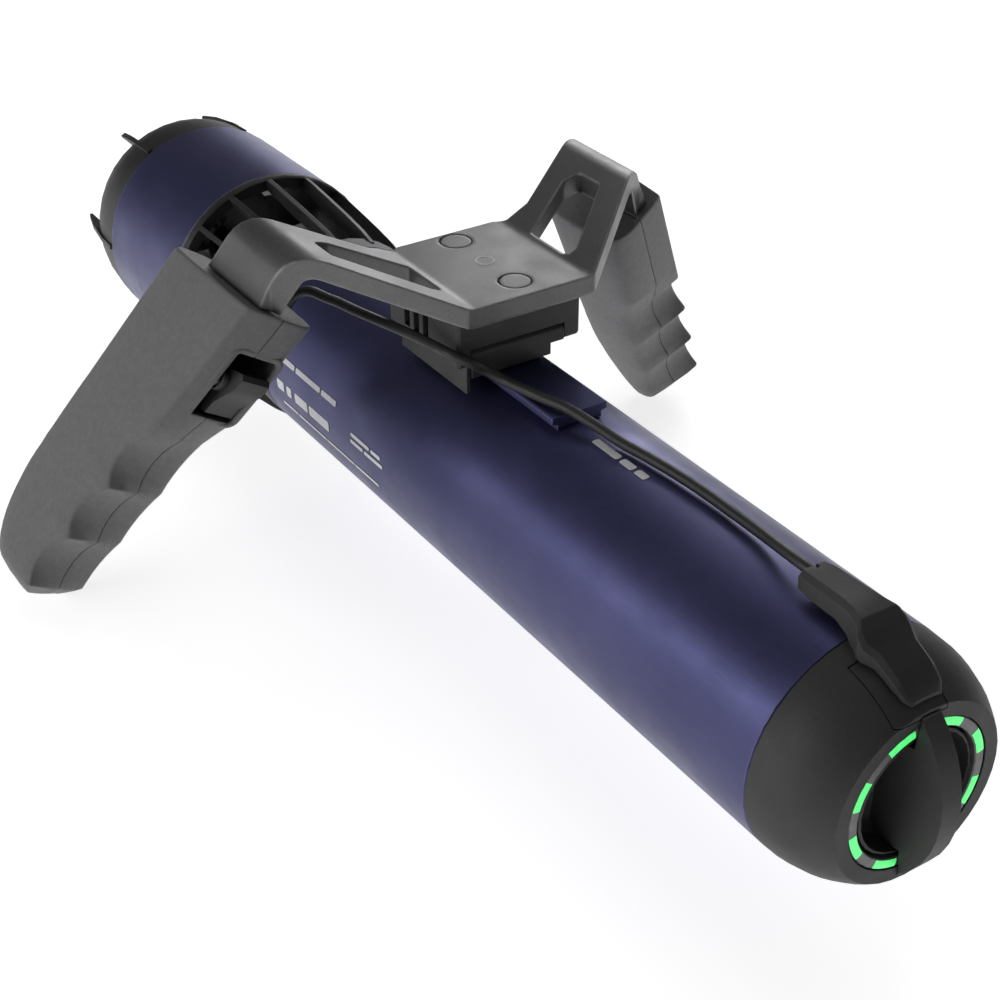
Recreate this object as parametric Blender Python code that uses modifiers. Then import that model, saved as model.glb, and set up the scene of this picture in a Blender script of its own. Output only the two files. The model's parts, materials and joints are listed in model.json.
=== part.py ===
"""Underwater scooter: a battery tube with a ducted propeller behind it and a clamped handle bar with two grips.

Metres throughout. The station frame has the tube's axis as its X axis, nose towards +X, the rider's left
towards +Y and up towards +Z. The root empty carries the station frame, so that the world's origin is the
middle of the whole object's box. A grip has its own frame: u runs forwards across the grip, v inwards from
its flat outer face, and s down its length.
"""

import math

import bmesh
import bpy
from mathutils import Matrix, Vector

# The middle of the object's box, in the station frame.
MIDDLE = Vector((0.31025, 0.0, 0.01474))
GAP = 0.0003

# Battery tube.
TUBE_R = 0.0350
TUBE_WALL = 0.0020
TUBE_REAR, TUBE_FRONT = 0.2368, 0.5000
BORE_R = TUBE_R - TUBE_WALL

# Nose.
NOSE_FACE = 0.5245
NOSE_FACE_R = 0.0262
SPIGOT_REAR = 0.4885
KNOB_R = 0.0188
KNOB_FLOOR = 0.5088
FIN_TIP = 0.5357
FIN_REACH = 0.0259
FIN_BOW_R = 0.0346
KNOB_SHAFT_R = 0.0060
LIGHT_INNER_R, LIGHT_OUTER_R = 0.0197, 0.0227
SOCKET_LEFT, SOCKET_RIGHT = 0.0052, 0.0112

# Duct, grille and propulsion.
DUCT_REAR, DUCT_FRONT = 0.1190, 0.1760
DUCT_REAR_R, DUCT_FRONT_R = 0.0409, 0.0413
DUCT_SKIN = 0.0016
LINER_R = 0.0345
LINER_WALL = 0.0018
STRUTS = 16
STRUT_THICK = 0.0019
COLLAR_REAR = 0.2285
VANES = 6
VANE_THICK = 0.0016
BLADES = 3
PROPELLER_R = 0.0332
SHAFT_R = 0.0025

# Rail and clamp.
RAIL_REAR, RAIL_FRONT = 0.2950, 0.3780
RAIL_TOP = 0.0390
RAIL_HALF = 0.0098
RAIL_NECK_HALF = 0.0078
RAIL_NECK_TOP = 0.0368
RAIL_SLOPE = 0.0006
RAIL_SCREWS = (0.3140, 0.3370)
BLOCK_REAR, BLOCK_FRONT = 0.3060, 0.3465
BLOCK_HALF = 0.0222
BLOCK_LOW, BLOCK_TOP = 0.0437, 0.0597
JAW_LEFT, JAW_RIGHT = 0.0125, 0.0190

# Handle bar.
PLATE_TOP = 0.0665
BAR_THICK = 0.0062
PLATE_REAR, PLATE_EDGE = 0.3040, 0.3530
BEND_Y = 0.0205
RIDGE_Y, RIDGE_Z = 0.0611, 0.0827
PLATE_SCREWS = (0.3079, 0.3434)

# Grips.
SPLAY = math.radians(31.0)
GRIP_TOP = Vector((0.2890, 0.0748, 0.0669))
RAKE = 0.42
GRIP_LENGTH = 0.1265
GRIP_BEVEL = 0.1205
GRIP_TAIL = 0.0800
GRIP_THICK = 0.0245
GROOVE_START = 0.0520
GROOVE_PITCH = 0.0230
GROOVES = 3
GRIP_SPLIT = 0.0115
GRIP_WALL = 0.0030
ARM_INSET = 0.0050

# Trigger, in the right grip's frame.
TRIGGER_PIN_U, TRIGGER_PIN_S = 0.0272, 0.0266
RECESS_S = (0.0148, 0.0398)
RECESS_V = (0.0065, 0.0205)

# Lead.
LEAD_R = 0.00165


# ---------------------------------------------------------------- scene, collections and looks

for old in list(bpy.data.objects):
    bpy.data.objects.remove(old, do_unlink=True)


def collection(name):
    made = bpy.data.collections.new(name)
    bpy.context.scene.collection.children.link(made)
    return made


PARTS = collection("underwater_scooter")
CUTTERS = collection("cutters")
CUTTERS.hide_render = True


def look(name, colour, roughness, metallic=0.0):
    made = bpy.data.materials.new(name)
    made.use_nodes = True
    shader = made.node_tree.nodes["Principled BSDF"]
    shader.inputs["Base Color"].default_value = (*colour, 1.0)
    shader.inputs["Roughness"].default_value = roughness
    shader.inputs["Metallic"].default_value = metallic
    made.diffuse_color = (*colour, 1.0)
    return made


NAVY = look("navy_anodised", (0.035, 0.035, 0.095), 0.38, 0.7)
CHARCOAL = look("charcoal_plastic", (0.030, 0.030, 0.030), 0.55)
BLACK = look("black_plastic", (0.012, 0.012, 0.013), 0.60)
BAR_GREY = look("satin_grey", (0.150, 0.150, 0.152), 0.45, 0.3)
GRIP_GREY = look("grip_grey", (0.100, 0.100, 0.102), 0.70)
SEAL_BLACK = look("seal_rubber", (0.010, 0.010, 0.010), 0.85)
LEAD_BLACK = look("lead_jacket", (0.020, 0.020, 0.021), 0.60)
LIGHT_GREEN = look("light_diffuser", (0.080, 0.650, 0.180), 0.40)
RED = look("red_plastic", (0.500, 0.030, 0.020), 0.45)
STEEL = look("stainless_steel", (0.550, 0.550, 0.560), 0.30, 1.0)
ALUMINIUM = look("bare_aluminium", (0.620, 0.620, 0.640), 0.40, 1.0)
COPPER = look("copper_winding", (0.620, 0.260, 0.110), 0.40, 1.0)
MAGNET_GREY = look("rotor_steel", (0.250, 0.250, 0.260), 0.40, 1.0)
CELL_WRAP = look("cell_wrap", (0.060, 0.180, 0.300), 0.45)
BOARD_GREEN = look("circuit_board", (0.020, 0.150, 0.060), 0.50)


# ---------------------------------------------------------------- frames

def axis_empty(name, place):
    """An empty at a place in the station frame, under the root."""
    made = bpy.data.objects.new(name, None)
    PARTS.objects.link(made)
    made.parent = ROOT
    made.location = place
    return made


ROOT = bpy.data.objects.new("station_frame", None)
PARTS.objects.link(ROOT)
ROOT.location = -MIDDLE


def grip_point(side, u, v, s):
    """A point in the station frame from a grip's own u, v, s; side is 1 on the left and -1 on the right."""
    top = Vector((GRIP_TOP.x, side * GRIP_TOP.y, GRIP_TOP.z))
    down = Vector((-RAKE, side * math.sin(SPLAY), -math.cos(SPLAY)))
    inward = Vector((0.0, -side * math.cos(SPLAY), -math.sin(SPLAY)))
    return top + Vector((u, 0.0, 0.0)) + inward * v + down * s


# ---------------------------------------------------------------- shapes

def add_object(name, mesh, finish, joint=None):
    """A part of the object, or a cutter where finish is None. Its points are in the station frame."""
    made = bpy.data.objects.new(name, mesh)
    parent = joint or ROOT
    made.parent = parent
    if joint:
        made.matrix_parent_inverse = Matrix.Translation(-joint.location)
    if finish:
        mesh.materials.append(finish)
        mesh.shade_smooth()
        mesh.set_sharp_from_angle(angle=math.radians(35.0))
        PARTS.objects.link(made)
    else:
        made.hide_render = True
        made.display_type = "WIRE"
        CUTTERS.objects.link(made)
    return made


def mesh_from(name, build):
    """A mesh from a function that fills a bmesh; its faces are turned outwards."""
    shape = bmesh.new()
    build(shape)
    bmesh.ops.recalc_face_normals(shape, faces=shape.faces)
    mesh = bpy.data.meshes.new(name)
    shape.to_mesh(mesh)
    shape.free()
    return mesh


def turned(name, profile, finish=None, steps=36, axis="X", place=(0.0, 0.0), joint=None):
    """A profile of (along, radius) points turned round the X, Y or Z axis.

    A profile that starts and ends on the axis makes a solid, and any other is closed into a ring. place
    shifts the turning axis in the two other directions, in X, Y, Z order.
    """
    solid = profile[0][1] == 0.0 and profile[-1][1] == 0.0
    pairs = zip(profile, profile[1:] + profile[:1])
    area = sum(a[0] * b[1] - b[0] * a[1] for a, b in pairs)
    points = profile if area > 0.0 else profile[::-1]

    def build(shape):
        spread = {"X": (0, 2), "Y": (1, 0), "Z": (2, 1)}[axis]
        corners = []
        for along, radius in points:
            corner = [0.0, 0.0, 0.0]
            corner[spread[0]] = along
            corner[spread[1]] = radius
            corners.append(shape.verts.new(corner))
        for first, second in zip(corners, corners[1:]):
            shape.edges.new((first, second))
        if not solid:
            shape.edges.new((corners[-1], corners[0]))

    mesh = mesh_from(name, build)
    helper = bpy.data.objects.new(name, mesh)
    CUTTERS.objects.link(helper)
    screw = helper.modifiers.new("turn", "SCREW")
    screw.axis = axis
    screw.steps = steps
    screw.render_steps = steps
    screw.use_merge_vertices = True
    screw.merge_threshold = 0.00001
    result = evaluated_mesh(helper)
    offset = {"X": (0.0, *place), "Y": (place[0], 0.0, place[1]), "Z": (*place, 0.0)}[axis]
    result.transform(Matrix.Translation(offset))
    outward(result)
    return add_object(name, result, finish, joint)


def evaluated_mesh(helper):
    """The welded mesh of a helper object, which is then removed."""
    bpy.context.view_layer.update()
    graph = bpy.context.evaluated_depsgraph_get()
    mesh = bpy.data.meshes.new_from_object(helper.evaluated_get(graph))
    mesh.transform(helper.matrix_world)
    name = helper.name
    bpy.data.objects.remove(helper, do_unlink=True)
    mesh.name = name
    outward(mesh)
    return mesh


def outward(mesh):
    """Welds a mesh's loose caps and turns its faces outwards."""
    shape = bmesh.new()
    shape.from_mesh(mesh)
    bmesh.ops.remove_doubles(shape, verts=shape.verts, dist=0.000001)
    bmesh.ops.recalc_face_normals(shape, faces=shape.faces)
    shape.to_mesh(mesh)
    shape.free()


def prism(name, outline, low, high, axis, finish=None, joint=None):
    """A flat outline carried from low to high along an axis; its points are the two other axes, in order."""
    curve = bpy.data.curves.new(name, "CURVE")
    curve.dimensions = "2D"
    curve.fill_mode = "BOTH"
    curve.extrude = (high - low) / 2.0
    spline = curve.splines.new("POLY")
    spline.points.add(len(outline) - 1)
    for point, (a, b) in zip(spline.points, outline):
        point.co = (a, b, 0.0, 1.0)
    spline.use_cyclic_u = True
    helper = bpy.data.objects.new(name, curve)
    CUTTERS.objects.link(helper)
    turn = {
        "X": Matrix(((0, 0, 1), (1, 0, 0), (0, 1, 0))),
        "Y": Matrix(((1, 0, 0), (0, 0, -1), (0, 1, 0))),
        "Z": Matrix.Identity(3),
    }[axis].to_4x4()
    middle = Vector([(low + high) / 2.0 if letter == axis else 0.0 for letter in "XYZ"])
    helper.matrix_world = Matrix.Translation(middle) @ turn
    return add_object(name, evaluated_mesh(helper), finish, joint)


def box(name, low, high, finish=None, joint=None):
    def build(shape):
        bmesh.ops.create_cube(shape, size=1.0)
        for corner in shape.verts:
            corner.co = [a + (b - a) * (c + 0.5) for a, b, c in zip(low, high, corner.co)]

    return add_object(name, mesh_from(name, build), finish, joint)


def loft(name, rings, finish=None, joint=None):
    """A skin through rings of equally many points, closed by a flat cap at each end."""
    def build(shape):
        rows = [[shape.verts.new(point) for point in ring] for ring in rings]
        for row, following in zip(rows, rows[1:]):
            for i in range(len(row)):
                j = (i + 1) % len(row)
                shape.faces.new((row[i], row[j], following[j], following[i]))
        shape.faces.new(rows[0])
        shape.faces.new(rows[-1][::-1])

    return add_object(name, mesh_from(name, build), finish, joint)


def tube_along(name, points, radius, finish, roundness=2, joint=None):
    """A round bar along points, closed at both ends."""
    curve = bpy.data.curves.new(name, "CURVE")
    curve.dimensions = "3D"
    curve.bevel_depth = radius
    curve.bevel_resolution = roundness
    curve.use_fill_caps = True
    spline = curve.splines.new("POLY")
    spline.points.add(len(points) - 1)
    for point, place in zip(spline.points, points):
        point.co = (*place, 1.0)
    helper = bpy.data.objects.new(name, curve)
    CUTTERS.objects.link(helper)
    return add_object(name, evaluated_mesh(helper), finish, joint)


def combine(target, other, operation="DIFFERENCE"):
    """Cuts target by other, or joins or crosses them, and hides other as a cutter."""
    step = target.modifiers.new(other.name, "BOOLEAN")
    step.operation = operation
    step.solver = "EXACT"
    step.object = other


def bevel(target, width, angle=35.0, segments=1):
    step = target.modifiers.new("edges", "BEVEL")
    step.width = width
    step.segments = segments
    step.limit_method = "ANGLE"
    step.angle_limit = math.radians(angle)
    step.use_clamp_overlap = True


def filleted(corners, radius, steps=3):
    """A closed outline with each corner rounded to the radius."""
    rounded = []
    count = len(corners)
    for i, corner in enumerate(corners):
        here = Vector(corner)
        back = (Vector(corners[i - 1]) - here)
        ahead = (Vector(corners[(i + 1) % count]) - here)
        half = back.angle(ahead) / 2.0
        reach = min(radius / math.tan(half), 0.45 * back.length, 0.45 * ahead.length)
        centre = here + (back.normalized() + ahead.normalized()).normalized() * (reach / math.cos(half))
        start = here + back.normalized() * reach - centre
        end = here + ahead.normalized() * reach - centre
        sweep = start.angle_signed(end)
        for step in range(steps + 1):
            turn = Matrix.Rotation(-sweep * step / steps, 2)
            rounded.append(tuple(centre + turn @ start))
    return rounded


def arc(centre, radius, first, last, steps):
    """Points on an arc; the angles are in degrees from the first axis towards the second."""
    angles = [math.radians(first + (last - first) * i / steps) for i in range(steps + 1)]
    return [(centre[0] + radius * math.cos(a), centre[1] + radius * math.sin(a)) for a in angles]


def smooth_path(corners, spacing):
    """Evenly spaced points on a Catmull-Rom curve through the corners."""
    ends = [corners[0] * 2.0 - corners[1], *corners, corners[-1] * 2.0 - corners[-2]]
    fine = []
    for a, b, c, d in zip(ends, ends[1:], ends[2:], ends[3:]):
        for i in range(16):
            t = i / 16.0
            fine.append(0.5 * (2.0 * b + (c - a) * t + (2.0 * a - 5.0 * b + 4.0 * c - d) * t ** 2
                               + (3.0 * b - a - 3.0 * c + d) * t ** 3))
    fine.append(corners[-1])
    total = sum((b - a).length for a, b in zip(fine, fine[1:]))
    count = max(2, round(total / spacing))
    placed = [fine[0]]
    walked = 0.0
    for a, b in zip(fine, fine[1:]):
        step = (b - a).length
        while len(placed) < count and walked + step >= total * len(placed) / count:
            part = (total * len(placed) / count - walked) / step
            placed.append(a + (b - a) * part)
        walked += step
    placed.append(fine[-1])
    return placed


def oring(name, along, radius, section, joint=None):
    return turned(name, arc((along, radius), section, 0.0, 270.0, 3), SEAL_BLACK, 18, joint=joint)


# ---------------------------------------------------------------- battery tube and rail

def screw_axis(x, low, high, radius, name):
    return turned(name, [(low, 0.0), (low, radius), (high, radius), (high, 0.0)], steps=12, axis="Z",
                  place=(x, 0.0))


def make_tube():
    chamfer = 0.0004
    tube = turned("main_tube", [
        (TUBE_REAR, BORE_R), (TUBE_REAR, TUBE_R - chamfer), (TUBE_REAR + chamfer, TUBE_R),
        (TUBE_FRONT - GAP - chamfer, TUBE_R), (TUBE_FRONT - GAP, TUBE_R - chamfer),
        (TUBE_FRONT - GAP, BORE_R),
    ], NAVY)
    rail = prism("mounting_rail", [
        (-RAIL_NECK_HALF, 0.0330), (RAIL_NECK_HALF, 0.0330), (RAIL_NECK_HALF, RAIL_NECK_TOP - RAIL_SLOPE),
        (RAIL_HALF, RAIL_NECK_TOP), (RAIL_HALF, RAIL_TOP - 0.0005), (RAIL_HALF - 0.0005, RAIL_TOP),
        (0.0005 - RAIL_HALF, RAIL_TOP), (-RAIL_HALF, RAIL_TOP - 0.0005), (-RAIL_HALF, RAIL_NECK_TOP),
        (-RAIL_NECK_HALF, RAIL_NECK_TOP - RAIL_SLOPE),
    ], RAIL_REAR, RAIL_FRONT, "X", NAVY)
    bed = [(RAIL_REAR - 0.01, 0.0), (RAIL_REAR - 0.01, TUBE_R + GAP), (RAIL_FRONT + 0.01, TUBE_R + GAP),
           (RAIL_FRONT + 0.01, 0.0)]
    combine(rail, turned("rail_bed", bed))
    strip = turned("rail_backing_strip", [
        (0.3020, 0.0300), (0.3020, BORE_R - GAP), (0.3740, BORE_R - GAP), (0.3740, 0.0300),
    ], ALUMINIUM)
    combine(strip, box("strip_width", (0.3010, -0.0090, 0.0250), (0.3750, 0.0090, 0.0350)), "INTERSECT")
    for end, x in zip(("rear", "front"), RAIL_SCREWS):
        combine(tube, screw_axis(x, 0.0310, 0.0380, 0.0019, f"tube_hole_{end}"))
        combine(strip, screw_axis(x, 0.0250, 0.0340, 0.0019, f"strip_hole_{end}"))
        sink = turned(f"rail_sink_{end}", [
            (0.0320, 0.0), (0.0320, 0.0019), (0.0372, 0.0019), (0.0398, 0.0045), (0.0405, 0.0045),
            (0.0405, 0.0),
        ], steps=16, axis="Z", place=(x, 0.0))
        combine(rail, sink)
        screw = turned(f"rail_screw_{end}", [
            (0.0304, 0.0), (0.0304, 0.0015), (0.0371, 0.0015), (0.0387, 0.0033), (0.0387, 0.0),
        ], STEEL, 16, "Z", (x, 0.0))
        socket = turned(f"rail_socket_{end}", [
            (0.0374, 0.0), (0.0374, 0.0014), (0.0400, 0.0014), (0.0400, 0.0),
        ], steps=6, axis="Z", place=(x, 0.0))
        combine(screw, socket)


# ---------------------------------------------------------------- nose, light ring and knob

def nose_skin(grow=0.0):
    """The nose's outer profile from the seam to its front face, as an arc of an ellipse."""
    length = NOSE_FACE - TUBE_FRONT
    full_x = 0.0375
    points = []
    for i in range(8):
        x = length * (i / 7.0) ** 0.8
        radius = TUBE_R * math.sqrt(1.0 - (x / full_x) ** 2.15) + grow
        points.append((TUBE_FRONT + x + grow * x / length, radius))
    return points


def make_nose():
    seat = 0.5185
    groove_r = LIGHT_OUTER_R + GAP
    profile = [
        (SPIGOT_REAR, 0.0300), (SPIGOT_REAR, BORE_R - GAP), (0.4920, BORE_R - GAP), (0.4920, 0.0305),
        (0.4950, 0.0305), (0.4950, BORE_R - GAP), (TUBE_FRONT, BORE_R - GAP), *nose_skin(),
        (NOSE_FACE, groove_r), (seat, groove_r), (seat, KNOB_R + GAP), (KNOB_FLOOR, KNOB_R + GAP),
        (KNOB_FLOOR, KNOB_SHAFT_R + GAP), (0.4960, KNOB_SHAFT_R + GAP), (0.4960, 0.0105), (0.5045, 0.0105),
        (0.5045, 0.0235), (0.5080, 0.0285), (0.5045, 0.0300),
    ]
    nose = turned("nose_cap", profile, CHARCOAL)
    pocket = prism("socket_pocket", [
        (0.5068 - GAP, 0.0273), (0.5187, 0.0249), (0.5300, 0.0249), (0.5300, 0.0450), (0.5068 - GAP, 0.0450),
    ], -SOCKET_RIGHT - GAP, SOCKET_LEFT + GAP, "Y")
    combine(nose, pocket)
    oring("nose_seal", 0.4935, 0.0318, 0.00075)

    ring = [(0.5209, LIGHT_INNER_R), (0.5209, LIGHT_OUTER_R), (0.5240, LIGHT_OUTER_R),
            (0.5243, LIGHT_OUTER_R - 0.0003), (0.5243, LIGHT_INNER_R + 0.0003), (0.5240, LIGHT_INNER_R)]
    turned("light_ring", ring, LIGHT_GREEN)
    board = [(seat + GAP, LIGHT_INNER_R), (seat + GAP, LIGHT_OUTER_R), (0.5204, LIGHT_OUTER_R),
             (0.5204, LIGHT_INNER_R)]
    turned("light_board", board, BOARD_GREEN, 24)


def make_socket_and_plug():
    """The insert that is let into the nose, and the lead's plug that lies in it and over the tube."""
    insert = prism("plug_socket", [
        (0.5068, 0.0276), (0.5188, 0.0252), (0.5290, 0.0252), (0.5290, 0.0420), (0.5068, 0.0420),
    ], -SOCKET_RIGHT, SOCKET_LEFT, "Y", CHARCOAL)
    skin = [(TUBE_FRONT - 0.001, 0.0), *[(x, r - 0.0002) for x, r in nose_skin()], (NOSE_FACE - 0.0003, 0.0)]
    combine(insert, turned("socket_skin", skin), "INTERSECT")

    sections = [
        (0.4786, 0.0036, 0.0376, 0.0418), (0.4800, 0.0048, 0.0365, 0.0430), (0.4840, 0.0054, 0.0362, 0.0434),
        (0.4950, 0.0056, 0.0362, 0.0437), (0.4998, 0.0060, 0.0345, 0.0436), (0.5036, 0.0072, 0.0320, 0.0430),
        (0.5058, 0.0084, 0.0310, 0.0406), (0.5078, 0.0084, 0.0300, 0.0388), (0.5110, 0.0071, 0.0290, 0.0374),
        (0.5170, 0.0070, 0.0275, 0.0345), (0.5206, 0.0064, 0.0265, 0.0320), (0.5226, 0.0050, 0.0260, 0.0296),
    ]
    rings = []
    for x, half, low, high in sections:
        cut = 0.0014
        side = [(half, low + cut), (half, high - cut), (half - cut, high)]
        ring = [(half - cut, low), *side, *[(-y, z) for y, z in side[::-1]], (cut - half, low)]
        rings.append([Vector((x, y, z)) for y, z in ring])
    plug = loft("cable_plug", rings, CHARCOAL)
    bed = [(0.4700, 0.0), (0.4700, TUBE_R + GAP), (TUBE_FRONT, TUBE_R + GAP),
           *[(x, r + GAP) for x, r in nose_skin()[1:]], (0.5300, NOSE_FACE_R), (0.5300, 0.0)]
    combine(plug, turned("plug_bed", bed))
    mouth_r = LEAD_R + 2.0 * GAP
    mouth = turned("plug_mouth", [
        (0.4700, 0.0), (0.4700, mouth_r), (0.4815, mouth_r), (0.4815, 0.0),
    ], steps=12, place=(LEAD_END.y, LEAD_END.z))
    combine(plug, mouth)


def make_knob():
    """The twist knob: a cupped disc with a grip fin across it, on a shaft through the nose."""
    joint = axis_empty("knob_axis", (KNOB_FLOOR, 0.0, 0.0))
    disc_front = 0.5150
    cup = turned("twist_knob", [
        (0.4900, 0.0), (0.4900, KNOB_SHAFT_R), (0.4915, KNOB_SHAFT_R), (0.4915, KNOB_SHAFT_R - 0.0012),
        (0.4930, KNOB_SHAFT_R - 0.0012), (0.4930, KNOB_SHAFT_R), (0.4985, KNOB_SHAFT_R),
        (0.4985, KNOB_SHAFT_R - 0.0014), (0.5015, KNOB_SHAFT_R - 0.0014), (0.5015, KNOB_SHAFT_R),
        (KNOB_FLOOR + GAP, KNOB_SHAFT_R), (KNOB_FLOOR + GAP, KNOB_R), (NOSE_FACE - 0.0012, KNOB_R),
        (NOSE_FACE - 0.0008, KNOB_R - 0.0008), (0.5170, KNOB_R - 0.0018), (disc_front, 0.0140),
        (disc_front, 0.0),
    ], CHARCOAL, 28, joint=joint)
    foot = 0.5130
    bow = math.degrees(math.asin(FIN_REACH / FIN_BOW_R)) - 2.0
    outline = [(foot, -0.0165), (NOSE_FACE + GAP, -0.0165), (NOSE_FACE + GAP, -FIN_REACH)]
    outline += arc((FIN_TIP - FIN_BOW_R, 0.0), FIN_BOW_R, -bow, bow, 10)
    outline += [(NOSE_FACE + GAP, FIN_REACH), (NOSE_FACE + GAP, 0.0165), (foot, 0.0165)]
    fin = prism("knob_fin", outline, -0.0070, 0.0070, "Y", joint=joint)
    for corner in fin.data.vertices:
        rise = max(0.0, min(1.0, (corner.co.x - foot) / (FIN_TIP - foot)))
        corner.co.y *= (1.0 - 0.53 * rise) * (1.0 - 0.40 * (corner.co.z / FIN_REACH) ** 2)
    combine(cup, fin, "UNION")
    turned("knob_clip", [(0.4918, KNOB_SHAFT_R - 0.0009), (0.4918, 0.0085), (0.4927, 0.0085),
                         (0.4927, KNOB_SHAFT_R - 0.0009)], STEEL, 14, joint=joint)
    oring("knob_seal", 0.5000, 0.0054, 0.00072, joint=joint)


# ---------------------------------------------------------------- battery and electronics

def make_battery():
    pitch = 0.0184
    cell_r = 0.0090
    cell_length = 0.0650
    for end, start in (("rear", 0.3060), ("front", 0.3740)):
        low, high = start, start + cell_length
        core = turned(f"cell_bundle_{end}", [(low, 0.0), (low, 0.0150), (high, 0.0150), (high, 0.0)],
                      CELL_WRAP, 12)
        for i in range(6):
            angle = math.radians(60.0 * i)
            cell = turned(f"cell_{end}_{i}", [(low - 0.0006, 0.0), (low - 0.0006, cell_r),
                                              (high + 0.0006, cell_r), (high + 0.0006, 0.0)], steps=10,
                          place=(pitch * math.sin(angle), pitch * math.cos(angle)))
            combine(core, cell, "UNION")
    for end, low in (("rear", 0.3030), ("front", 0.4400)):
        plate = [(low, 0.0040), (low, 0.0290), (low + 0.0020, 0.0290), (low + 0.0020, 0.0040)]
        turned(f"cell_plate_{end}", plate, BLACK, 20)
    gauge = [(0.4480, 0.0), (0.4480, 0.0270), (0.4496, 0.0270), (0.4496, 0.0)]
    turned("battery_board", gauge, BOARD_GREEN, 20)


def make_controller():
    board = turned("motor_controller", [(0.2640, 0.0), (0.2640, 0.0290), (0.2658, 0.0290), (0.2658, 0.0)],
                   BOARD_GREEN, 20)
    for i in range(3):
        angle = math.radians(120.0 * i + 30.0)
        can = turned(f"capacitor_{i}", [(0.2650, 0.0), (0.2650, 0.0060), (0.2840, 0.0060), (0.2840, 0.0)],
                     steps=10, place=(0.0170 * math.sin(angle), 0.0170 * math.cos(angle)))
        combine(board, can, "UNION")


# ---------------------------------------------------------------- motor

def make_motor():
    bulkhead = [
        (0.2292, 0.0), (0.2292, 0.0308), (0.2372, 0.0308), (0.2372, BORE_R - GAP), (0.2420, BORE_R - GAP),
        (0.2420, 0.0305), (0.2450, 0.0305), (0.2450, BORE_R - GAP), (0.2480, BORE_R - GAP), (0.2480, 0.0280),
        (0.2420, 0.0250), (0.2420, 0.0),
    ]
    turned("motor_bulkhead", bulkhead, ALUMINIUM, 24)
    oring("bulkhead_seal", 0.2435, 0.0318, 0.00075)
    housing = [
        (0.2288, 0.0232), (0.2288, 0.0306), (0.2240, 0.0300), (0.2120, 0.0272), (0.2000, 0.0236),
        (0.1900, 0.0196), (0.1850, 0.0172), (0.1838, 0.0155), (0.1838, 0.0064), (0.1858, 0.0064),
        (0.1858, 0.0030), (0.1876, 0.0030), (0.1876, 0.0064), (0.1930, 0.0064), (0.1930, 0.0165),
        (0.1980, 0.0220), (0.2060, 0.0232),
    ]
    turned("motor_housing", housing, BLACK, 20)
    teeth = []
    for i in range(12):
        for radius, turn in ((0.0150, -10.0), (0.0150, 10.0), (0.0108, 12.0), (0.0108, 18.0)):
            angle = math.radians(30.0 * i + turn)
            teeth.append((radius * math.cos(angle), radius * math.sin(angle)))
    stator = prism("motor_stator", teeth, 0.2085, 0.2215, "X", COPPER)
    combine(stator, turned("stator_bore", [(0.2050, 0.0), (0.2050, 0.0075), (0.2250, 0.0075), (0.2250, 0.0)],
                           steps=16))
    tube = [(0.2215 + GAP, 0.0042), (0.2215 + GAP, 0.0110), (0.2289, 0.0110), (0.2289, 0.0042)]
    turned("stator_mount", tube, ALUMINIUM, 14)

    joint = axis_empty("propeller_axis", (0.1620, 0.0, 0.0))
    rotor = [
        (0.1990, SHAFT_R + GAP), (0.1990, 0.0080), (0.2020, 0.0190), (0.2215, 0.0190), (0.2215, 0.0156),
        (0.2060, 0.0156), (0.2030, 0.0070), (0.2072, 0.0070), (0.2072, SHAFT_R + GAP),
    ]
    turned("motor_rotor", rotor, MAGNET_GREY, 20, joint=joint)
    shaft = [(0.1430, 0.0), (0.1430, SHAFT_R), (0.2268, SHAFT_R), (0.2268, 0.0)]
    turned("motor_shaft", shaft, STEEL, 16, joint=joint)
    for name, low, high, outer in (("rear_bearing", 0.1880, 0.1925, 0.0061),
                                   ("front_bearing", 0.2222, 0.2262, 0.0039)):
        turned(name, [(low, SHAFT_R + GAP), (low, outer), (high, outer), (high, SHAFT_R + GAP)], STEEL, 14)
    turned("shaft_seal", [(0.1841, SHAFT_R + GAP), (0.1841, 0.0061), (0.1855, 0.0061),
                          (0.1855, SHAFT_R + GAP)], SEAL_BLACK, 14)
    make_propeller(joint)


def make_propeller(joint):
    hub = turned("propeller", [
        (0.1500, SHAFT_R + GAP), (0.1500, 0.0090), (0.1560, 0.0112), (0.1700, 0.0140), (0.1800, 0.0158),
        (0.1832, 0.0150), (0.1832, SHAFT_R + GAP),
    ], BLACK, 20, joint=joint)
    root, tip, stations = 0.0095, PROPELLER_R, 5
    for blade in range(BLADES):
        rings = []
        for i in range(stations):
            share = i / (stations - 1)
            radius = root + (tip - root) * share
            chord = 0.0165 + 0.0080 * math.sin(math.pi * min(1.0, 0.15 + 0.75 * share))
            pitch = math.radians(58.0 - 34.0 * share)
            thick = 0.0026 - 0.0014 * share
            ring = []
            for along, across in ((-0.5, 0.0), (-0.2, 0.42), (0.25, 0.5), (0.5, 0.0), (0.25, -0.35),
                                  (-0.2, -0.3)):
                x = along * chord * math.sin(pitch) + across * thick * math.cos(pitch)
                turn = along * chord * math.cos(pitch) - across * thick * math.sin(pitch)
                angle = turn / radius + math.radians(360.0 * blade / BLADES) - 0.25 * share
                ring.append((0.1665 + x * 0.85, radius * math.sin(angle), radius * math.cos(angle)))
            rings.append(ring)
        combine(hub, loft(f"blade_{blade}", rings, joint=joint), "UNION")
    hexagon = arc((0.0, 0.0), 0.0062, 0.0, 300.0, 5)
    nut = prism("propeller_nut", hexagon, 0.1447, 0.1497, "X", STEEL, joint)
    combine(nut, turned("nut_bore", [(0.1400, 0.0), (0.1400, SHAFT_R + GAP), (0.1550, SHAFT_R + GAP),
                                     (0.1550, 0.0)], steps=16, joint=joint))


# ---------------------------------------------------------------- duct and grille

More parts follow.
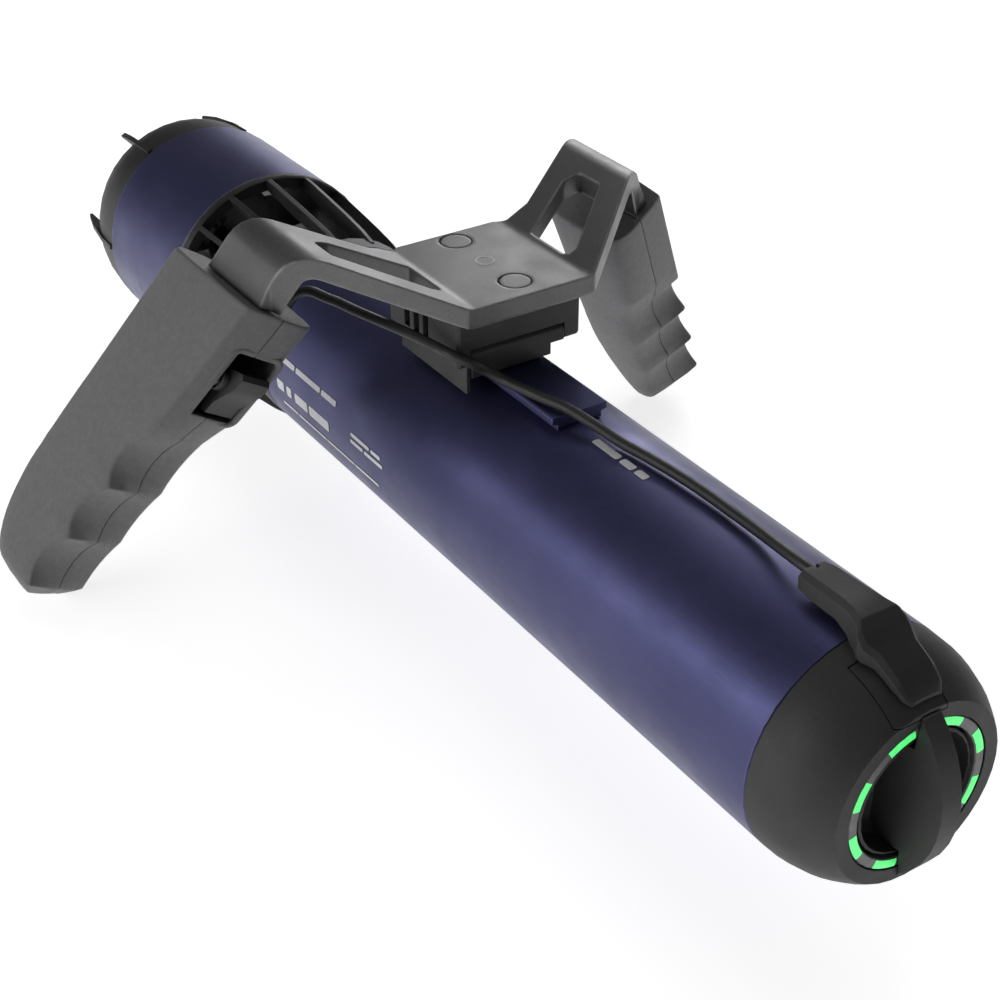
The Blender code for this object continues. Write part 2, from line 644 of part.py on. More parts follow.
def fin_round(name, outline, thick, angle):
    """A flat fin in the (along, radius) plane, turned to its place round the tube's axis."""
    made = prism(name, outline, -thick / 2.0, thick / 2.0, "Y")
    made.data.transform(Matrix.Rotation(math.radians(angle), 4, "X"))
    return made


def make_duct():
    grille = turned("intake_grille", [
        (0.1765, 0.0368), (0.1765, 0.0410), (0.1772, 0.0414), (0.1786, 0.0414), (0.1795, 0.0408),
        (0.1795, 0.0368),
    ], BLACK)
    collar = turned("grille_collar", [
        (COLLAR_REAR, 0.0312), (COLLAR_REAR, 0.0352), (0.2320, 0.0350), (TUBE_REAR - GAP, 0.0350),
        (TUBE_REAR - GAP, 0.0312),
    ])
    strut = [
        (0.1775, 0.0372), (0.1775, 0.0410), (0.1850, 0.0406), (0.1990, 0.0394), (0.2120, 0.0382),
        (0.2240, 0.0368), (0.2320, 0.0353), (0.2320, 0.0320), (0.2200, 0.0322), (0.1990, 0.0342),
    ]
    for i in range(STRUTS):
        combine(grille, fin_round(f"strut_{i}", strut, STRUT_THICK, 360.0 * i / STRUTS), "UNION")
    combine(grille, collar, "UNION")

    turned("duct_shroud", [
        (DUCT_REAR + GAP, DUCT_REAR_R - DUCT_SKIN), (DUCT_REAR + GAP, DUCT_REAR_R),
        (0.1470, 0.0411), (DUCT_FRONT, DUCT_FRONT_R), (DUCT_FRONT, DUCT_FRONT_R - DUCT_SKIN),
    ], NAVY)
    outer = LINER_R + LINER_WALL
    turned("duct_liner", [
        (DUCT_REAR + GAP, LINER_R), (DUCT_REAR + GAP, outer), (0.1730, outer), (0.1742, 0.0392),
        (DUCT_FRONT, 0.0392), (DUCT_FRONT, 0.0366), (0.1735, LINER_R),
    ], BLACK)
    tail = turned("rear_ring", [
        (DUCT_REAR, LINER_R), (DUCT_REAR, 0.0407), (0.1120, 0.0404), (0.1060, 0.0397), (0.1010, 0.0385),
        (0.0975, 0.0368), (0.0967, 0.0355), (0.0985, LINER_R),
    ], BLACK)
    spike = [(0.0850, 0.0362), (0.0848, 0.0350), (0.0985, 0.0350), (0.1160, 0.0372), (0.1175, 0.0412),
             (0.1080, 0.0409), (0.0950, 0.0389)]
    for i in range(VANES):
        combine(tail, fin_round(f"spike_{i}", spike, 0.0020, 30.0 + 360.0 * i / VANES), "UNION")

    vanes = turned("guide_vanes", [
        (0.1040, 0.0), (0.1040, 0.0040), (0.1080, 0.0072), (0.1160, 0.0092), (0.1410, 0.0098),
        (0.1410, 0.0068), (0.1250, 0.0068), (0.1250, 0.0),
    ], BLACK, 18)
    vane = [(0.1120, 0.0060), (0.1385, 0.0085), (0.1365, LINER_R - GAP), (0.1070, LINER_R - GAP),
            (0.1075, 0.0250)]
    for i in range(VANES):
        combine(vanes, fin_round(f"vane_{i}", vane, VANE_THICK, 30.0 + 360.0 * i / VANES), "UNION")


# ---------------------------------------------------------------- handle bar and its clamp

def bar_section():
    """The bent strip seen from the front: its top edge from the right joint to the left, and back below."""
    joint = grip_point(1, 0.0, ARM_INSET, -GAP)
    top = [(joint.y, joint.z), (RIDGE_Y, RIDGE_Z), (BEND_Y, PLATE_TOP)]
    half = []
    for offset in (0.0, BAR_THICK):
        lines = []
        for (ay, az), (by, bz) in zip([*top, (0.0, PLATE_TOP)], [*top[1:], (0.0, PLATE_TOP)][:3]):
            along = Vector((by - ay, bz - az)).normalized()
            inside = Vector((-along.y, along.x)) if along.x < 0 else Vector((along.y, -along.x))
            lines.append((Vector((ay, az)) + inside * offset, along))
        run = [lines[0][0]]
        for (p, a), (q, b) in zip(lines, lines[1:]):
            cross = a.x * b.y - a.y * b.x
            reach = ((q.x - p.x) * b.y - (q.y - p.y) * b.x) / cross
            run.append(p + a * reach)
        half.append(run)
    outer_r, inner_r = (0.0095, 0.0080), (0.0035, 0.0140)
    upper = [tuple(half[0][0]), *bent(half[0], outer_r)]
    lower = [tuple(half[1][0]), *bent(half[1], inner_r)]
    mirrored = [(-y, z) for y, z in upper[::-1]] + [(-y, z) for y, z in lower]
    return [*upper, *mirrored[:len(upper)], *mirrored[len(upper):], *lower[::-1]]


def bent(run, radii):
    """A run's two bends as arcs; the run ends at the middle of the plate."""
    points = [*run, Vector((0.0, run[-1].y))]
    placed = []
    for i, radius in enumerate(radii, 1):
        here = points[i]
        back, ahead = points[i - 1] - here, points[i + 1] - here
        half = back.angle(ahead) / 2.0
        reach = radius / math.tan(half)
        centre = here + (back.normalized() + ahead.normalized()).normalized() * (radius / math.sin(half))
        start, end = here + back.normalized() * reach - centre, here + ahead.normalized() * reach - centre
        sweep = start.angle_signed(end)
        steps = 5 if half < math.radians(60.0) else 3
        for step in range(steps + 1):
            placed.append(tuple(centre + Matrix.Rotation(-sweep * step / steps, 2) @ start))
    return placed


def make_bar():
    bar = prism("handle_bar", bar_section(), 0.2550, 0.3650, "X", BAR_GREY)
    right = [(PLATE_EDGE, 0.0), (PLATE_EDGE, 0.0225), (0.3200, 0.0610), (0.3155, 0.0668), (0.3140, 0.0800),
             (0.2700, 0.0800), (0.2790, 0.0720), (0.2855, 0.0640), (0.2884, 0.0570), (0.2964, 0.0440),
             (0.3050, 0.0300), (0.3060, 0.0215), (PLATE_REAR, 0.0175), (PLATE_REAR, 0.0)]
    left = [(x, -y) for x, y in right[::-1]]
    combine(bar, prism("bar_plan", [*right, *left[1:-1]], 0.0, 0.12, "Z"), "INTERSECT")
    for side in (1, -1):
        window = [(0.3190, 0.0222), (0.3415, 0.0222), (0.3190, 0.0482), (0.3075, 0.0482), (0.3068, 0.0430)]
        rounded = [(x, side * y) for x, y in filleted(window, 0.0022, 2)]
        combine(bar, prism(f"bar_window_{side + 1}", rounded, 0.0, 0.12, "Z"))
        bolt = grip_point(side, 0.0030, ARM_INSET + BAR_THICK / 2.0, 0.0)
        hole = turned(f"bar_bolt_hole_{side + 1}", [(-0.0120, 0.0), (-0.0120, 0.0019), (0.0100, 0.0019),
                                                    (0.0100, 0.0)], steps=12, axis="Z")
        hole.data.transform(Matrix.Translation(bolt) @ Matrix.Rotation(math.pi + side * SPLAY, 4, "X"))
        combine(bar, hole)
    bevel(bar, 0.0017, 50.0)
    for end, x in zip(("rear", "front"), PLATE_SCREWS):
        place = (x + (0.0022 if end == "rear" else 0.0), 0.0)
        well = turned(f"plate_well_{end}", [
            (0.0560, 0.0), (0.0560, 0.0024), (0.0616, 0.0024), (0.0616, 0.0053), (0.0700, 0.0053),
            (0.0700, 0.0),
        ], steps=20, axis="Z", place=place)
        combine(bar, well)
        turned(f"plate_plug_{end}", [
            (0.0648, 0.0), (0.0648, 0.0050), (0.0662, 0.0050), (0.0665, 0.0046), (0.0665, 0.0),
        ], BAR_GREY, 20, "Z", place)
        turned(f"handle_screw_{end}", [
            (0.0512, 0.0), (0.0512, 0.0020), (0.0619, 0.0020), (0.0619, 0.0042), (0.0645, 0.0042),
            (0.0645, 0.0),
        ], STEEL, 14, "Z", place)


def make_clamp():
    block = box("clamp_block", (BLOCK_REAR, -BLOCK_HALF, BLOCK_LOW), (BLOCK_FRONT, BLOCK_HALF, BLOCK_TOP),
                CHARCOAL)
    bevel(block, 0.0010, 40.0)
    jaws = box("clamp_jaws", (BLOCK_REAR + 0.002, -JAW_RIGHT, 0.0349),
               (BLOCK_FRONT - 0.0003, JAW_LEFT, 0.0450))
    combine(block, jaws, "UNION")
    channel_half, lip_half = RAIL_HALF + GAP, RAIL_NECK_HALF + GAP
    lip_top = RAIL_NECK_TOP - GAP
    channel = [(-lip_half, 0.0300), (lip_half, 0.0300), (lip_half, lip_top - RAIL_SLOPE),
               (channel_half, lip_top), (channel_half, RAIL_TOP + GAP), (-channel_half, RAIL_TOP + GAP),
               (-channel_half, lip_top), (-lip_half, lip_top - RAIL_SLOPE)]
    combine(block, prism("rail_channel", channel, BLOCK_REAR - 0.01, BLOCK_FRONT + 0.01, "X"))
    combine(block, box("latch_recess", (0.3390, -0.0178, 0.0330), (0.3600, 0.0162, 0.0495)))
    for x in (0.3155, 0.3210, 0.3265):
        combine(block, box(f"block_slot_{x * 1e4:.0f}", (x, -0.0300, 0.0466), (x + 0.0032, -0.0196, 0.0560)))
    for end, x in zip(("rear", "front"), PLATE_SCREWS):
        place = (x + (0.0022 if end == "rear" else 0.0), 0.0)
        hole = turned(f"block_hole_{end}", [(0.0506, 0.0), (0.0506, 0.0024), (0.0700, 0.0024), (0.0700, 0.0)],
                      steps=14, axis="Z", place=place)
        combine(block, hole)

    pin_x, pin_z = 0.3446, 0.0469
    hinge = axis_empty("latch_axis", (pin_x, 0.0, pin_z))
    face = 0.0022
    lever = [(pin_x - face, 0.0402), (pin_x + face, 0.0402), *arc((pin_x, pin_z), face, 0.0, 180.0, 6)]
    panel = prism("latch_lever", lever, -0.0174, 0.0158, "Y", CHARCOAL, hinge)
    combine(panel, box("latch_notch", (0.3400, 0.0110, 0.0390), (0.3500, 0.0170, 0.0440), joint=hinge))
    pin_hole = [(-0.0250, 0.0), (-0.0250, 0.0011), (0.0250, 0.0011), (0.0250, 0.0)]
    combine(panel, turned("latch_bore", pin_hole, steps=12, axis="Y", place=(pin_x, pin_z), joint=hinge))
    seat = [(-0.0206, 0.0), (-0.0206, 0.0011), (0.0190, 0.0011), (0.0190, 0.0)]
    combine(block, turned("latch_seat", seat, steps=12, axis="Y", place=(pin_x, pin_z)))
    turned("latch_pin", [(-0.0203, 0.0), (-0.0203, 0.0008), (0.0187, 0.0008), (0.0187, 0.0)], STEEL, 12, "Y",
           (pin_x, pin_z))

    press = axis_empty("button_axis", (0.3230, 0.0222, 0.0520))
    well = [(0.0110, 0.0), (0.0110, 0.0041), (0.0300, 0.0041), (0.0300, 0.0)]
    combine(block, turned("button_well", well, steps=18, axis="Y", place=(0.3230, 0.0520)))
    turned("release_button", [
        (0.0176, 0.0), (0.0176, 0.0038), (0.0278, 0.0038), (0.0296, 0.0030), (0.0302, 0.0016), (0.0302, 0.0),
    ], RED, 18, "Y", (0.3230, 0.0520), press)
    coil = []
    for i in range(25):
        angle = math.radians(45.0 * i)
        coil.append((0.3230 + 0.0026 * math.sin(angle), 0.0118 + 0.0024 * i / 24.0,
                     0.0520 + 0.0026 * math.cos(angle)))
    tube_along("button_spring", coil, 0.0002, STEEL, 0)


# ---------------------------------------------------------------- grips and trigger

def groove(s):
    """0 on the ridges between the finger grooves and 1 in the middle of each."""
    share = (s - GROOVE_START) / GROOVE_PITCH
    if share <= 0.0 or share >= GROOVES:
        return 0.0
    return abs(math.sin(math.pi * share)) ** 0.8


def smoothed_outline(points):
    """A closed outline with one more point in each stretch, on the smooth curve through its neighbours."""
    curve = []
    for i, here in enumerate(points):
        p = [Vector(points[(i + k) % len(points)]) for k in (-1, 0, 1, 2)]
        knots = [0.0]
        for a, b in zip(p, p[1:]):
            knots.append(knots[-1] + math.sqrt((b - a).length))
        t = (knots[1] + knots[2]) / 2.0

        def between(a, b, i, j):
            return a.lerp(b, (t - knots[i]) / (knots[j] - knots[i]))

        middle = between(p[1], p[2], 1, 2)
        first = between(between(p[0], p[1], 0, 1), middle, 0, 2)
        second = between(middle, between(p[2], p[3], 2, 3), 1, 3)
        curve += [here, tuple(between(first, second, 1, 2))]
    return curve


def grip_ring(side, s, wall=0.0, smooth=True):
    """One cross-section of a grip, from its flat outer face round the front to its rounded inner side.

    With a wall, it is the section of the hollow inside, that far in from the skin.
    """
    tail = max(0.0, (s - GRIP_TAIL) / (GRIP_LENGTH + 0.0006 - GRIP_TAIL))
    rear = 0.0171 - 0.0350 * math.sqrt(1.0 - tail * tail) if tail else 0.072 * s - 0.0242
    end = max(0.0, (s - GRIP_BEVEL) / (GRIP_LENGTH - GRIP_BEVEL))
    front = 0.0282 + min(1.0, s / GROOVE_START) * 0.0010 - 0.0060 * groove(s) - 0.0045 * end
    fall = min(1.0, max(0.0, (s - 0.0410) / (GROOVE_START - 0.0410)))
    inner_front = 0.0310 - 0.0055 * fall - 0.0015 * groove(s) - 0.0035 * end
    corner_v = 0.0185 + 0.0020 * fall - 0.0045 * end
    thick = GRIP_THICK - 0.0015 * tail - 0.0055 * end ** 2
    start = 0.0045 * end ** 2
    width, depth = front - rear, thick - start
    heel = rear + 0.0090 * tail ** 2
    flank = inner_front - heel
    flat = [
        (rear + 0.06 * width, start), (rear + 0.50 * width, start - 0.0004), (front - 0.03 * width, start),
        (front, start + 0.06 * depth), ((front + inner_front) / 2.0 + 0.0006, start + 0.43 * depth),
        (inner_front, corner_v), (inner_front - 0.06 * flank, thick - 0.05 * depth),
        (inner_front - 0.25 * flank, thick), (heel + 0.42 * flank, thick),
        (heel + 0.24 * flank, thick - 0.09 * depth), (heel + 0.12 * flank, thick - 0.30 * depth),
        (rear + 0.45 * (heel - rear) + 0.04 * flank, thick - 0.58 * depth), (rear, start + 0.20 * depth),
        (rear + 0.012 * width, start + 0.07 * depth),
    ]
    if smooth:
        flat = smoothed_outline(flat)
    middle_u, middle_v = (rear + front) / 2.0, (start + thick) / 2.0
    keep_u, keep_v = 1.0 - 2.0 * wall / width, 1.0 - 2.0 * wall / depth
    return [grip_point(side, middle_u + (u - middle_u) * keep_u, middle_v + (v - middle_v) * keep_v, s)
            for u, v in flat]


def grip_box(name, side, u, v, s):
    """A block in a grip's own frame."""
    rings = []
    for level in s:
        rings.append([grip_point(side, a, b, level) for a, b in ((u[0], v[0]), (u[1], v[0]), (u[1], v[1]),
                                                                 (u[0], v[1]))])
    return loft(name, rings)


def across_grip(name, side, u, s, v_low, v_high, radius, finish=None, steps=12):
    """A round bar across a grip, along v."""
    made = turned(name, [(v_low, 0.0), (v_low, radius), (v_high, radius), (v_high, 0.0)], finish, steps, "Z")
    place = grip_point(side, u, 0.0, s)
    inward = grip_point(side, u, 1.0, s) - place
    turn = Vector((0.0, 0.0, 1.0)).rotation_difference(inward).to_matrix().to_4x4()
    made.data.transform(Matrix.Translation(place) @ turn)
    return made


def make_grips():
    stations = [0.0, 0.0012, 0.0140, 0.0410, 0.0455]
    stations += [GROOVE_START + GROOVE_PITCH * i / 6.0 for i in range(18)]
    stations += [GROOVE_START + GROOVE_PITCH * GROOVES, 0.1232, 0.1252, GRIP_LENGTH]
    for side, hand in ((1, "left"), (-1, "right")):
        for half in ("outer", "inner"):
            rings = [grip_ring(side, s, 0.0004 if s == 0.0 else 0.0) for s in stations]
            shell = loft(f"{hand}_grip_{half}", rings, GRIP_GREY)
            low, high = (GRIP_SPLIT, 0.0500) if half == "outer" else (-0.0200, GRIP_SPLIT + GAP)
            keep = grip_box(f"{hand}_{half}_split", side, (-0.1, 0.1), (low, high), (-0.02, 0.16))
            combine(shell, keep)
            if side == -1:
                cut_for_trigger(shell, half)
            hollow = [grip_ring(side, s, GRIP_WALL, False) for s in (0.0060, 0.0390, 0.0610, 0.0845, 0.1080)]
            combine(shell, loft(f"{hand}_{half}_hollow", hollow))
            combine(shell, across_top(side, f"{hand}_{half}_bolt_hole", 0.0019, -0.0100, 0.0120))
        bolt = across_top(side, f"{hand}_grip_bolt", 0.0015, -0.0100, 0.0080, STEEL)
        combine(bolt, across_top(side, f"{hand}_bolt_head", 0.0032, 0.0062, 0.0092), "UNION")


def across_top(side, name, radius, low, high, finish=None):
    """A round bar down a grip from the handle bar's end, with low and high measured along s."""
    made = turned(name, [(low, 0.0), (low, radius), (high, radius), (high, 0.0)], finish, 12, "Z")
    bolt = grip_point(side, 0.0030, ARM_INSET + BAR_THICK / 2.0, 0.0)
    made.data.transform(Matrix.Translation(bolt) @ Matrix.Rotation(math.pi + side * SPLAY, 4, "X"))
    return made


def cut_for_trigger(shell, half):
    combine(shell, grip_box(f"trigger_recess_{half}", -1, (0.0160, 0.0450), RECESS_V, RECESS_S))
    pin = across_grip(f"trigger_seat_{half}", -1, TRIGGER_PIN_U, TRIGGER_PIN_S, 0.0035, 0.0222, 0.0013)
    combine(shell, pin)
    if half == "inner":
        low, high = GLAND_V
        combine(shell, across_grip("gland_hole", -1, GLAND_U, GLAND_S, low - 0.004, high, 0.0030))


GLAND_U, GLAND_S = 0.0030, 0.0125
GLAND_V = (0.0200, 0.0285)


def make_trigger():
    side = -1
    place = grip_point(side, TRIGGER_PIN_U, 0.0150, TRIGGER_PIN_S)
    joint = axis_empty("trigger_axis", place)
    outline = [(0.0290, 0.0212), (0.0334, 0.0206), (0.0352, 0.0222), (0.0352, 0.0262), (0.0326, 0.0300),
               (0.0306, 0.0340), (0.0304, 0.0380), (0.0270, 0.0384), (0.0246, 0.0330), (0.0242, 0.0262),
               (0.0262, 0.0222)]
    rings = [[grip_point(side, u, v, s) for u, s in outline] for v in (0.0100, 0.0198)]
    lever = loft("trigger", rings, CHARCOAL, joint)
    bore = across_grip("trigger_bore", side, TRIGGER_PIN_U, TRIGGER_PIN_S, 0.0050, 0.0230, 0.0014)
    combine(lever, bore)
    across_grip("trigger_pin", side, TRIGGER_PIN_U, TRIGGER_PIN_S, 0.0039, 0.0218, 0.0010, STEEL)
    coil = []
    for i in range(17):
        angle = math.radians(50.0 * i)
        coil.append(grip_point(side, TRIGGER_PIN_U + 0.0020 * math.sin(angle), 0.0074 + 0.0020 * i / 16.0,
                               TRIGGER_PIN_S + 0.0020 * math.cos(angle)))
    tube_along("trigger_spring", coil, 0.0002, STEEL, 0)
    board = [[grip_point(side, u, v, s) for u, v in ((0.0095, 0.0050), (0.0111, 0.0050), (0.0111, 0.0175),
                                                     (0.0095, 0.0175))] for s in (0.0160, 0.0420)]
    loft("throttle_board", board, BOARD_GREEN)
    gland = across_grip("cable_gland", side, GLAND_U, GLAND_S, GLAND_V[0] - 0.0010, GLAND_V[1], 0.0027,
                        SEAL_BLACK)
    combine(gland, across_grip("gland_bore", side, GLAND_U, GLAND_S, 0.0, 0.05, LEAD_R + GAP))


# ---------------------------------------------------------------- the control lead

LEAD_END = Vector((0.4806, 0.0, 0.0410))
LEAD_ROUTE = [
    grip_point(-1, GLAND_U, 0.0215, GLAND_S), grip_point(-1, GLAND_U, 0.0265, GLAND_S),
    grip_point(-1, GLAND_U, 0.0305, GLAND_S),
    Vector((0.2887, -0.0440, 0.0520)), Vector((0.2970, -0.0380, 0.0514)), Vector((0.3050, -0.0335, 0.0496)),
    Vector((0.3139, -0.0300, 0.0488)), Vector((0.3270, -0.0268, 0.0490)), Vector((0.3395, -0.0252, 0.0497)),
    Vector((0.3468, -0.0242, 0.0500)), Vector((0.3498, -0.0205, 0.0480)), Vector((0.3505, -0.0150, 0.0440)),
    Vector((0.3535, -0.0113, 0.0413)), Vector((0.3604, -0.0094, 0.0410)), Vector((0.3700, -0.0070, 0.0410)),
    Vector((0.3780, -0.0048, 0.0410)), Vector((0.3880, -0.0018, 0.0392)), Vector((0.3980, 0.0008, 0.0373)),
    Vector((0.4080, 0.0026, 0.0370)), Vector((0.4250, 0.0043, 0.0369)), Vector((0.4440, 0.0046, 0.0369)),
    Vector((0.4570, 0.0038, 0.0376)), Vector((0.4690, 0.0012, 0.0399)), Vector((0.4760, 0.0001, 0.0409)),
    LEAD_END,
]


def make_lead():
    tube_along("control_lead", smooth_path(LEAD_ROUTE, 0.0052), LEAD_R, LEAD_BLACK, 2)


make_tube()
make_nose()
make_socket_and_plug()
make_knob()
make_battery()
make_controller()
make_motor()
make_duct()
make_bar()
make_clamp()
make_grips()
make_trigger()
make_lead()
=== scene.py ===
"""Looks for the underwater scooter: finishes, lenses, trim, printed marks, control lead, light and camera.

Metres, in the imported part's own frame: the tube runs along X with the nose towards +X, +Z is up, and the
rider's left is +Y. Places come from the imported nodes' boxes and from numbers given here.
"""

import json
import math

import bmesh
import bpy
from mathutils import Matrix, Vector


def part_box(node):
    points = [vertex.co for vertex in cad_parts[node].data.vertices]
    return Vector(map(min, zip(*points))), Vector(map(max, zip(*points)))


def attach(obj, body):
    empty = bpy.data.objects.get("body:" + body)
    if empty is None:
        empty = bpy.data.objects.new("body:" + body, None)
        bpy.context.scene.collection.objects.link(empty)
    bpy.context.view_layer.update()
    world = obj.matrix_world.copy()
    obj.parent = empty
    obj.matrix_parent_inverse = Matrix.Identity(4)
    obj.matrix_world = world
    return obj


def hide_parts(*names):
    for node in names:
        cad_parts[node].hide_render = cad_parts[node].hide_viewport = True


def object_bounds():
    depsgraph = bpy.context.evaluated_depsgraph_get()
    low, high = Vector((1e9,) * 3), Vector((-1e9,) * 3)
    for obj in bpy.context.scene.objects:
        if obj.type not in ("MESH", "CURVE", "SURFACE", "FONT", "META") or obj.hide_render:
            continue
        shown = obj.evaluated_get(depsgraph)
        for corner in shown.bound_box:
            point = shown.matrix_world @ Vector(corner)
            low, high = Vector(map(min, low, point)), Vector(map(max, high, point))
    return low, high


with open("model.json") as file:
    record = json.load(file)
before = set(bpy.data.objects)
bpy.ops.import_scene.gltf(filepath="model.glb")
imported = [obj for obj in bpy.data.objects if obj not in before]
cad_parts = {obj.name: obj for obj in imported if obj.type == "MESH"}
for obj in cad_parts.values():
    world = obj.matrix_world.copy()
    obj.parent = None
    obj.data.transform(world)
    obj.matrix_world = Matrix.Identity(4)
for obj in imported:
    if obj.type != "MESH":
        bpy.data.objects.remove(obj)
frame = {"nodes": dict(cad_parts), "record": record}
NODES = frame["nodes"]
CAD_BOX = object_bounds()

TUBE_LOW, TUBE_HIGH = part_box("main_tube")
AXIS_Z = (TUBE_LOW.z + TUBE_HIGH.z) / 2.0
TUBE_R = (TUBE_HIGH.z - TUBE_LOW.z) / 2.0

# The station frame, in which the shapes are laid out: its origin lies on the tube's axis, behind the duct.
STATION = Vector((TUBE_LOW.x - 0.2368, 0.0, AXIS_Z))

# The right grip's own frame, as in the CAD: u forwards, v inwards from its outer face, s down its length.
GRIP_TOP = Vector((0.2890, -0.0748, 0.0669))
GRIP_SPLAY = math.radians(31.0)
GRIP_DOWN = Vector((-0.42, -math.sin(GRIP_SPLAY), -math.cos(GRIP_SPLAY)))
GRIP_INWARD = Vector((0.0, math.cos(GRIP_SPLAY), -math.sin(GRIP_SPLAY)))


FLOOR_GAP = 0.0006
FLOOR_REACH = 6.0
WORLD_STRENGTH = 0.13
LAMPS = (
    # name, place, size, power; each faces the middle of the object
    ("key", (-0.35, -1.25, 0.38), (1.3, 0.45), 7.0),
    ("top", (-0.3, 0.4, 1.4), (1.0, 1.0), 2.8),
    ("rim", (-0.9, 0.9, 0.5), (0.6, 0.6), 5.0),
)
CAMERA_PLACE = Vector((0.44415, -0.27330, 0.29136))
CAMERA_TARGET = Vector((0.04573, -0.01352, -0.01424))
CAMERA_LENS_MM = 65.95

# How far edges bend before they are shaded as edges, in degrees: less on moulded parts than on soft grips.
CRISP_EDGES, SOFT_EDGES, PIECE_EDGES = 28.0, 58.0, 35.0


def station(x, y, z):
    return STATION + Vector((x, y, z))


def on_right_grip(u, v, s):
    return STATION + GRIP_TOP + Vector((u, 0.0, 0.0)) + GRIP_INWARD * v + GRIP_DOWN * s


# ---------------------------------------------------------------- shader helpers

class Shader:
    """A material's node tree, with short calls for the nodes that the finishes share."""

    def __init__(self, name):
        self.material = bpy.data.materials.new(name)
        self.material.use_nodes = True
        self.tree = self.material.node_tree
        self.principled = self.tree.nodes["Principled BSDF"]
        self.where = self.tree.nodes.new("ShaderNodeTexCoord").outputs["Object"]

    def set(self, **values):
        for name, value in values.items():
            self.principled.inputs[name.replace("_", " ")].default_value = value

    def link(self, output, target):
        self.tree.links.new(output, target)

    def node(self, kind, inputs=(), **settings):
        made = self.tree.nodes.new(kind)
        for name, value in settings.items():
            setattr(made, name, value)
        for key, value in dict(inputs).items():
            if isinstance(value, bpy.types.NodeSocket):
                self.link(value, made.inputs[key])
            else:
                made.inputs[key].default_value = value
        return made

    def stretched(self, scale):
        return self.node("ShaderNodeMapping", {"Vector": self.where, "Scale": scale}).outputs["Vector"]

    def noise(self, scale, detail=3.0, where=None, roughness=0.55):
        inputs = {"Vector": where or self.where, "Scale": scale, "Detail": detail, "Roughness": roughness}
        return self.node("ShaderNodeTexNoise", inputs).outputs["Fac"]

    def math(self, operation, *values):
        return self.node("ShaderNodeMath", dict(enumerate(values)), operation=operation).outputs["Value"]

    def remap(self, value, low, high, to_low, to_high):
        return self.node("ShaderNodeMapRange", {"Value": value, "From Min": low, "From Max": high,
                                                "To Min": to_low, "To Max": to_high}).outputs["Result"]

    def blend(self, share, first, second):
        mixed = self.node("ShaderNodeMix", data_type="RGBA")
        for slot, kind, value in (("Factor", "VALUE", share), ("A", "RGBA", first), ("B", "RGBA", second)):
            socket = next(s for s in mixed.inputs if s.name == slot and s.type == kind)
            if isinstance(value, bpy.types.NodeSocket):
                self.link(value, socket)
            else:
                socket.default_value = value if slot == "Factor" else (*value, 1.0)
        return next(s for s in mixed.outputs if s.type == "RGBA")

    def bump(self, height, strength, depth, normal=None):
        inputs = {"Height": height, "Strength": strength, "Distance": depth}
        if normal:
            inputs["Normal"] = normal
        return self.node("ShaderNodeBump", inputs).outputs["Normal"]

    def edges(self, radius):
        """The softened normal at edges, and how much each point lies on one."""
        soft = self.node("ShaderNodeBevel", {"Radius": radius}, samples=4).outputs["Normal"]
        sharp = self.node("ShaderNodeNewGeometry").outputs["Normal"]
        dot = self.node("ShaderNodeVectorMath", {0: soft, 1: sharp}, operation="DOT_PRODUCT")
        return soft, self.remap(dot.outputs["Value"], 0.995, 0.80, 0.0, 1.0)


def painted(node, material):
    node.data.materials.clear()
    node.data.materials.append(material)


# ---------------------------------------------------------------- finishes

def textured_finish(name, base, light, roughness, grain, grain_depth, edge_wear_and_highlight_colour=None, metallic=0.0,
                    mottle=45.0, edge_radius=0.0004, **extra):
    """A moulded, blasted or anodised surface: clouded colour, fine grain, and edges painted lighter, partly
    as wear and partly as a painted highlight.
    """
    s = Shader(name)
    cloud = s.remap(s.noise(mottle, 4.0), 0.35, 0.65, 0.0, 1.0)
    speckle = s.noise(grain * 0.45, 2.0)
    soft, edge = s.edges(edge_radius)
    colour = s.blend(cloud, base, light)
    colour = s.blend(s.remap(speckle, 0.45, 0.75, 0.0, 0.22), colour, [c * 1.7 for c in light])
    if edge_wear_and_highlight_colour:
        # Edges are painted a lighter colour: partly wear, partly a painted highlight.
        worn_and_highlit = s.math("MULTIPLY", edge, s.remap(s.noise(260.0, 3.0), 0.30, 0.60, 0.35, 1.0))
        colour = s.blend(worn_and_highlit, colour, edge_wear_and_highlight_colour)
    s.link(colour, s.principled.inputs["Base Color"])
    s.link(s.remap(s.noise(mottle * 1.6, 3.0), 0.3, 0.7, roughness - 0.05, roughness + 0.06),
           s.principled.inputs["Roughness"])
    s.link(s.bump(s.noise(grain, 2.0), 0.55, grain_depth, soft), s.principled.inputs["Normal"])
    s.set(Metallic=metallic, **extra)
    return s.material


def brushed_finish(name, base, light, roughness, along):
    """Turned or drawn metal, with fine lines along one axis."""
    s = Shader(name)
    lines = s.noise(1.0, 3.0, s.stretched([60.0 if i == along else 5200.0 for i in range(3)]))
    soft, edge = s.edges(0.0002)
    colour = s.blend(s.remap(lines, 0.3, 0.7, 0.0, 1.0), base, light)
    # Edges are painted a brighter metal: a painted highlight.
    s.link(s.blend(edge, colour, [min(1.0, c * 1.25) for c in light]), s.principled.inputs["Base Color"])
    s.link(s.remap(lines, 0.3, 0.7, roughness - 0.06, roughness + 0.08), s.principled.inputs["Roughness"])
    s.link(s.bump(lines, 0.35, 0.00002, soft), s.principled.inputs["Normal"])
    s.set(Metallic=1.0)
    return s.material


